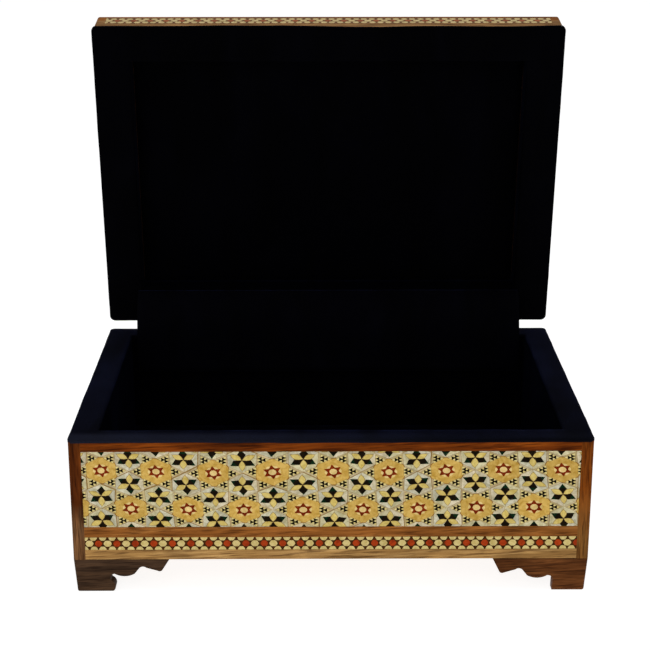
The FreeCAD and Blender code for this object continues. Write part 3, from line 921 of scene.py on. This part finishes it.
def face_mosaic(name, box, right, seed):
    """A mosaic on a panel's outer face, which runs to the right, and the face's size."""
    low, high = box
    out = right.cross(UP)
    corner = Vector((0, 0, low.z))
    for axis in (0, 1):
        if abs(out[axis]) > 0.5:
            corner[axis] = high[axis] if out[axis] > 0 else low[axis]
        else:
            corner[axis] = low[axis] if right[axis] > 0 else high[axis]
    size = Vector((abs((high - low).dot(right)), high.z - low.z))
    return Mosaic(name, corner, right, UP, seed), size


def make_inlay():
    """Tesserae on the four sides, round the lid's edge and on the lid's top."""
    none = Vector((0, 0))
    for turn, (face, right) in enumerate(FACES.items()):
        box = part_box(f"{face}_inlay_panel")
        panel, size = face_mosaic(f"{face}_rosettes", box, right, SEEDS["panel"] + turn)
        lay_rosette_field(panel, none, size, FIRST_ROW, ROSETTE_FLATNESS)
        panel.done("box")
        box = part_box(f"{face}_inlay_border")
        border, size = face_mosaic(f"{face}_border_hexagons", box, right, SEEDS["border"] + turn)
        lay_hexagon_band(border, none, size, BORDER_PITCH, "strip")
        border.done("box")
        box = closed_box(f"lid_{face}_inlay")
        edge, size = face_mosaic(f"lid_{face}_hexagons", box, right, SEEDS["lid_edge"] + turn)
        # The lid's band is laid in paler, flatter tones: painted glare.
        lay_hexagon_band(edge, none, size, LID_EDGE_PITCH, "worn")
        edge.done("lid", TO_REST)
    make_lid_top()


def make_lid_top():
    """A field of rosettes framed by a band of hexagons, on the lid's top."""
    low, high = closed_box("lid_top_inlay")
    corner = Vector((low.x, low.y, high.z))
    size = Vector((high.x - low.x, high.y - low.y))
    top = Mosaic("lid_top_rosettes", corner, Vector((1, 0, 0)), Vector((0, 1, 0)), SEEDS["lid_top"])
    inset = Vector((LID_BORDER, LID_BORDER))
    row_step = ROSETTE_PITCH * sqrt(3) / 2
    inner = size - 2 * inset
    rows = int(inner.y / row_step)
    lay_rosette_field(top, inset, size - inset, (inner.y - (rows - 1) * row_step) / 2, 1)
    far_x = size.x - LID_BORDER
    far_y = size.y - LID_BORDER
    bands = [
        (0, 0, size.x, LID_BORDER, False),
        (0, far_y, size.x, size.y, False),
        (0, LID_BORDER, LID_BORDER, far_y, True),
        (far_x, LID_BORDER, size.x, far_y, True),
    ]
    for left, front, right, back, along_y in bands:
        ground = [Vector(spot) for spot in ((left, front), (right, front), (right, back), (left, back))]
        top.lay(ground, "ground", LEVELS["ground"], ground[0], ground[2])
        lay_hexagon_band(top, ground[0], ground[2], BORDER_PITCH, "strip", along_y)
    top.done("lid", TO_REST)


# Velvet.


def rounded_loop(half_x, half_y, radius):
    """Points round a rectangle with rounded corners."""
    side_steps = 34
    corner_steps = 5
    corners = [(1, -1, -90), (1, 1, 0), (-1, 1, 90), (-1, -1, 180)]
    arcs = []
    for sign_x, sign_y, first in corners:
        middle = Vector((sign_x * (half_x - radius), sign_y * (half_y - radius)))
        angles = [radians(first + 90 * step / corner_steps) for step in range(corner_steps + 1)]
        arcs.append([middle + Vector((cos(a), sin(a))) * radius for a in angles])
    spots = []
    for arc, after in zip(arcs, arcs[1:] + arcs[:1]):
        spots += arc
        spots += [arc[-1].lerp(after[0], step / side_steps) for step in range(1, side_steps)]
    return spots


def rim_section(overhang, pile, inner, depth):
    """Velvet over a rim and down inside it, as (inset, depth below the rim's face) spots."""
    arc_steps = 5
    flat_steps = 4
    least_steps = 3
    wall_step = 4 * MM
    edge = 0.55 * MM
    roll = 1.1 * MM
    quarter = [pi / 2 * step / arc_steps for step in range(arc_steps + 1)]
    over = [(-overhang, pile)]
    over += [(-overhang + edge * (1 - cos(a)), edge * (1 - sin(a))) for a in quarter]
    run = inner - roll - (edge - overhang)
    over += [(edge - overhang + run * step / flat_steps, 0) for step in range(1, flat_steps)]
    over += [(inner - roll + roll * sin(a), roll * (1 - cos(a))) for a in quarter]
    steps = max(least_steps, round((depth - roll) / wall_step))
    down = [(inner, roll + (depth - roll) * step / steps) for step in range(1, steps + 1)]
    return over, down


def uneven_share(edge, *place):
    """How much of its most an uneven edge reaches at a place along it."""
    value = noise.noise(Vector((*(step * edge["waves"] for step in place), *edge["at"])))
    return clamp(edge["mean"] + edge["varies"] * value, edge["least"])


def trim(spot, overhang):
    """A spot drawn back to the uneven front edge of the lid's velvet, a little past the wood."""
    lip = overhang * uneven_share(LID_FRONT, spot.x)
    return Vector((spot.x, max(spot.y, -frame_half.y - lip)))


def drop_hem(ring):
    """Lets the velvet's outer edge hang unevenly over the top rails."""
    for vertex in ring:
        vertex.co.z -= HEM_DROP * uneven_share(HEM, vertex.co.x, vertex.co.y)


def join_rings(mesh, rings, first_inside):
    """Cloth from each ring to the next and back to the first, with the second material from one ring on."""
    for place, (ring, after) in enumerate(zip(rings, rings[1:] + rings[:1])):
        count = len(ring)
        for index in range(count):
            step = (index + 1) % count
            face = mesh.faces.new([ring[index], ring[step], after[step], after[index]])
            face.material_index = int(place >= first_inside)
    bmesh.ops.recalc_face_normals(mesh, faces=mesh.faces)
    mesh.normal_update()


def ruffle(rings):
    """Makes the velvet's surface uneven."""
    for vertex in [vertex for ring in rings for vertex in ring]:
        swell = sum(share * noise.noise(vertex.co * waves) for waves, share in UNEVEN_WAVES)
        vertex.co += vertex.normal * VELVET_UNEVEN * swell


def make_rim_cloth(name, rim, lining, inward, box_of, body, swing, finish):
    """Velvet over a rim and, darker as painted shade, on the walls inside it. Inward is the way into the
    wood.
    """
    rim_low, rim_high = box_of(rim)
    lining_low, lining_high = box_of(lining)
    on_lid = inward > 0
    face_z = rim_low.z if on_lid else rim_high.z
    depth = lining_high.z - rim_low.z if on_lid else rim_high.z - lining_low.z
    pile = rim_high.z - rim_low.z
    overhang = rim_high.x - frame_half.x
    inner = frame_half.x - lining_inside(lining, swing)
    over, down = rim_section(overhang, pile, inner, depth)
    front = over + down
    back = [(inner - VELVET_THICK, depth), (inner - VELVET_THICK, pile)]
    mesh = bmesh.new()
    rings = []
    for inset, below in front + back:
        radius = max((LID_CORNER if on_lid else BOX_CORNER) - inset, LEAST_CORNER)
        spots = rounded_loop(frame_half.x - inset, frame_half.y - inset, radius)
        if on_lid:
            spots = [trim(spot, overhang) for spot in spots]
        rings.append([mesh.verts.new((spot.x, spot.y, face_z + inward * below)) for spot in spots])
    if not on_lid:
        drop_hem(rings[0])
    # The inner edge's last three rings belong to the walls' velvet, a darker copy that is painted shade.
    # The outer edge and the back stay even.
    join_rings(mesh, rings, len(over) - 3)
    ruffle(rings[2:len(front) - 1])
    data = to_data(mesh, name)
    data.transform(swing)
    data.shade_smooth()
    piece = new_object(name, data, [finish, painted_shade_velvet])
    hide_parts(rim, lining)
    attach(piece, body)


def pad_data(name, low, high):
    """A closed pad with a flat underside, whose upper face falls away towards its edges."""
    middle = (low + high) / 2
    half = (high - low) / 2
    mesh = bmesh.new()
    top = []
    for row in range(PAD_ROWS + 1):
        line = []
        for column in range(PAD_COLUMNS + 1):
            x = low.x + (high.x - low.x) * column / PAD_COLUMNS
            y = low.y + (high.y - low.y) * row / PAD_ROWS
            margin = min(half.x - abs(x - middle.x), half.y - abs(y - middle.y))
            drop = max(0, PAD_EDGE - margin * PAD_SLOPE) * PAD_FALL
            line.append(mesh.verts.new((x, y, high.z - drop)))
        top.append(line)
    join_rows(mesh, top)
    border = [line for line in mesh.edges if line.is_boundary]
    skirt = bmesh.ops.extrude_edge_only(mesh, edges=border)["geom"]
    for part in skirt:
        if isinstance(part, bmesh.types.BMVert):
            part.co.z = low.z
    border = [line for line in mesh.edges if line.is_boundary]
    bmesh.ops.contextual_create(mesh, geom=border)
    bmesh.ops.recalc_face_normals(mesh, faces=mesh.faces)
    return to_data(mesh, name)


def make_pad(name, node, facing, box_of, body, swing, finish):
    """A thin pad covered with velvet, slightly crowned. Facing is the way its soft side looks."""
    low, high = box_of(node)
    piece = new_object(name, pad_data(name, low, high), [finish])
    pin_border(piece, low, high)
    puff(piece)
    if facing < 0:
        middle = (low + high) / 2
        flip = Matrix.Translation(middle) @ Matrix.Rotation(pi, 4, "X") @ Matrix.Translation(-middle)
        piece.data.transform(flip)
    piece.data.transform(swing)
    piece.data.shade_smooth()
    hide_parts(node)
    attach(piece, body)


def pin_border(piece, low, high):
    """Holds the pad's underside and the edge of its top while the cloth swells."""
    deep = 1.5 * PAD_EDGE
    wide = 2 * PAD_EDGE
    held = piece.vertex_groups.new(name="held")
    for vertex in piece.data.vertices:
        x, y, z = vertex.co
        border = min(x - low.x, high.x - x, y - low.y, high.y - y)
        if z < high.z - deep or border < wide:
            held.add([vertex.index], 1, "REPLACE")


def puff(piece):
    """Lets the pad's cloth swell under a light pressure, by its crown at most."""
    scene = bpy.context.scene
    before = [vertex.co.copy() for vertex in piece.data.vertices]
    cloth = piece.modifiers.new("swell", "CLOTH")
    for name, value in CLOTH.items():
        setattr(cloth.settings, name, value)
    cloth.settings.effector_weights.gravity = 0
    for step in range(1, SWELL_STEPS + 1):
        scene.frame_set(step)
    swollen = piece.evaluated_get(bpy.context.evaluated_depsgraph_get()).data
    after = [vertex.co.copy() for vertex in swollen.vertices]
    piece.modifiers.remove(cloth)
    scene.frame_set(1)
    for vertex, old, new in zip(piece.data.vertices, before, after):
        moved = new - old
        if moved.length > PAD_CROWN:
            moved *= PAD_CROWN / moved.length
        vertex.co = old + moved


def flap_line():
    """The flap's front face in section, as (y, z) spots from its lower edge to the lid."""
    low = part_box("hinge_flap")[0]
    start = low.z + FLAP_FLAT
    flat = [(low.y, low.z + FLAP_FLAT * step / FLAT_ROWS) for step in range(FLAT_ROWS)]
    rise = [FLAP_TURN * step / ARC_ROWS for step in range(ARC_ROWS)]
    roll = [FLAP_TURN * (1 + step / ARC_ROWS) for step in range(ARC_ROWS + 1)]
    line = flat + [(low.y + FLAP_RISE * (1 - cos(a)), start + FLAP_RISE * sin(a)) for a in rise]
    bend_y = low.y + FLAP_RISE * (1 - cos(FLAP_TURN))
    bend_z = start + FLAP_RISE * sin(FLAP_TURN)
    for angle in roll:
        y = bend_y + FLAP_ROLL * (cos(FLAP_TURN) - cos(angle))
        z = bend_z + FLAP_ROLL * (sin(angle) - sin(FLAP_TURN))
        line.append((y, z))
    return line


def flap_wave(x, z):
    """The height of the flap's soft waves at a spot, as a share."""
    return sum(share * noise.noise(Vector((x * along, z * up, at))) for along, up, at, share in FLAP_WAVES)


def make_flap():
    """The velvet flap that hides the hinges, from the back lining over to the lid."""
    low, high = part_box("hinge_flap")
    line = flap_line()
    width = high.x - low.x - 2 * FLAP_INSET
    mesh = bmesh.new()
    front = []
    for index, (y, z) in enumerate(line):
        loose = clamp((index - FLAT_ROWS) / WAVES_BEGIN) * clamp((len(line) - 1 - index) / WAVES_END)
        row = []
        for column in range(FLAP_COLUMNS + 1):
            x = low.x + FLAP_INSET + width * column / FLAP_COLUMNS
            row.append(mesh.verts.new((x, y - FLAP_WAVE * flap_wave(x, z) * loose, z)))
        front.append(row)
    join_rows(mesh, front)
    mesh.normal_update()
    data = to_data(mesh, "velvet_flap")
    data.shade_smooth()
    piece = new_object("velvet_flap", data, [velvet, painted_shade_velvet])
    thick = piece.modifiers.new("thickness", "SOLIDIFY")
    thick.thickness = FLAP_THICK
    thick.offset = -1
    # The flap's cut edges take the darker velvet, painted shade.
    thick.material_offset_rim = 1
    apply_modifiers(piece)
    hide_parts("hinge_flap")
    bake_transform(piece)


def apply_modifiers(piece):
    """Turns a piece's modifiers into its own mesh."""
    result = bpy.data.meshes.new_from_object(piece.evaluated_get(bpy.context.evaluated_depsgraph_get()))
    piece.modifiers.clear()
    piece.data = result


def make_velvet():
    """The velvet on both rims and inside, and the flap between box and lid."""
    box = (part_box, "box", STAY)
    lid = (closed_box, "lid", TO_REST)
    make_rim_cloth("box_velvet", "rim_velvet", "wall_lining", -1, *box, rim_velvet)
    # The lid's velvet is darker by half: painted shade.
    make_rim_cloth("lid_painted_shade_velvet", "lid_rim_velvet", "lid_wall_lining", 1, *lid, lid_painted_shade_velvet)
    # The cushions take the darker velvet, painted shade.
    make_pad("floor_cushion", "floor_pad", 1, *box, painted_shade_velvet)
    make_pad("lid_cushion", "lid_panel_lining", -1, *lid, painted_shade_velvet)
    make_flap()


# The stage.


def make_stage():
    bpy.ops.mesh.primitive_plane_add(size=FLOOR_SIDE)
    floor = bpy.context.object
    floor.name = "pale_floor"
    floor.data.materials.append(floor_material())
    make_room()
    for name, settings in LIGHTS.items():
        add_light(name, *settings)
    bpy.context.scene.view_settings.view_transform = "Standard"


def make_room():
    """A white backdrop that gives only part of the light."""
    world = bpy.data.worlds.new("white_room")
    world.use_nodes = True
    tree = world.node_tree
    ray = add(tree, "LightPath", {}).outputs["Is Camera Ray"]
    fill(tree.nodes["Background"], {"Color": WHITE, "Strength": between(ray, BACKDROP_LIGHT, 1)})
    bpy.context.scene.world = world


def add_light(name, place, target, side, power):
    lamp = bpy.data.lights.new(name, "AREA")
    lamp.size = side
    lamp.energy = power
    light = bpy.data.objects.new(name, lamp)
    light.visible_glossy = False
    light.location = place
    light.rotation_euler = (Vector(target) - Vector(place)).to_track_quat("-Z", "Y").to_euler()
    bpy.context.scene.collection.objects.link(light)


def make_camera():
    """A camera where the photograph was taken from."""
    lens = bpy.data.cameras.new("photo_camera")
    lens.sensor_width = SENSOR_WIDTH
    lens.lens = FOCAL_LENGTH
    camera = bpy.data.objects.new("photo_camera", lens)
    camera.location = CAMERA_AT
    camera.rotation_euler = (radians(90 - DOWN_DEGREES), 0, -radians(RIGHT_DEGREES))
    bpy.context.scene.collection.objects.link(camera)
    bpy.context.scene.camera = camera


# The finishes that several pieces share. A velvet's depth is the strength of its colour: half depth, on the
# lid and in the darker copy for the walls, the pads and the flap's edges, is painted shade.
glue_sheet = sheet_material("joint")
dark_sheet = sheet_material("ground")
glare_washed_sheet = sheet_material("glare_washed_ground")
velvet = velvet_material("navy_velvet", sheen=0.12, depth=1)
# The rim's velvet carries a painted sheen along its front edge.
rim_velvet = velvet_material("navy_velvet_on_the_rim", sheen=0.3, depth=1, edge_sheen=True)
lid_painted_shade_velvet = velvet_material("navy_velvet_on_the_lid_painted_shade", sheen=0.04, depth=0.5)
painted_shade_velvet = velvet_material("navy_velvet_painted_shade", sheen=0.02, depth=0.5)
brass = brass_material()

finish_cad_nodes()
make_inlay()
make_velvet()
make_stage()
make_camera()
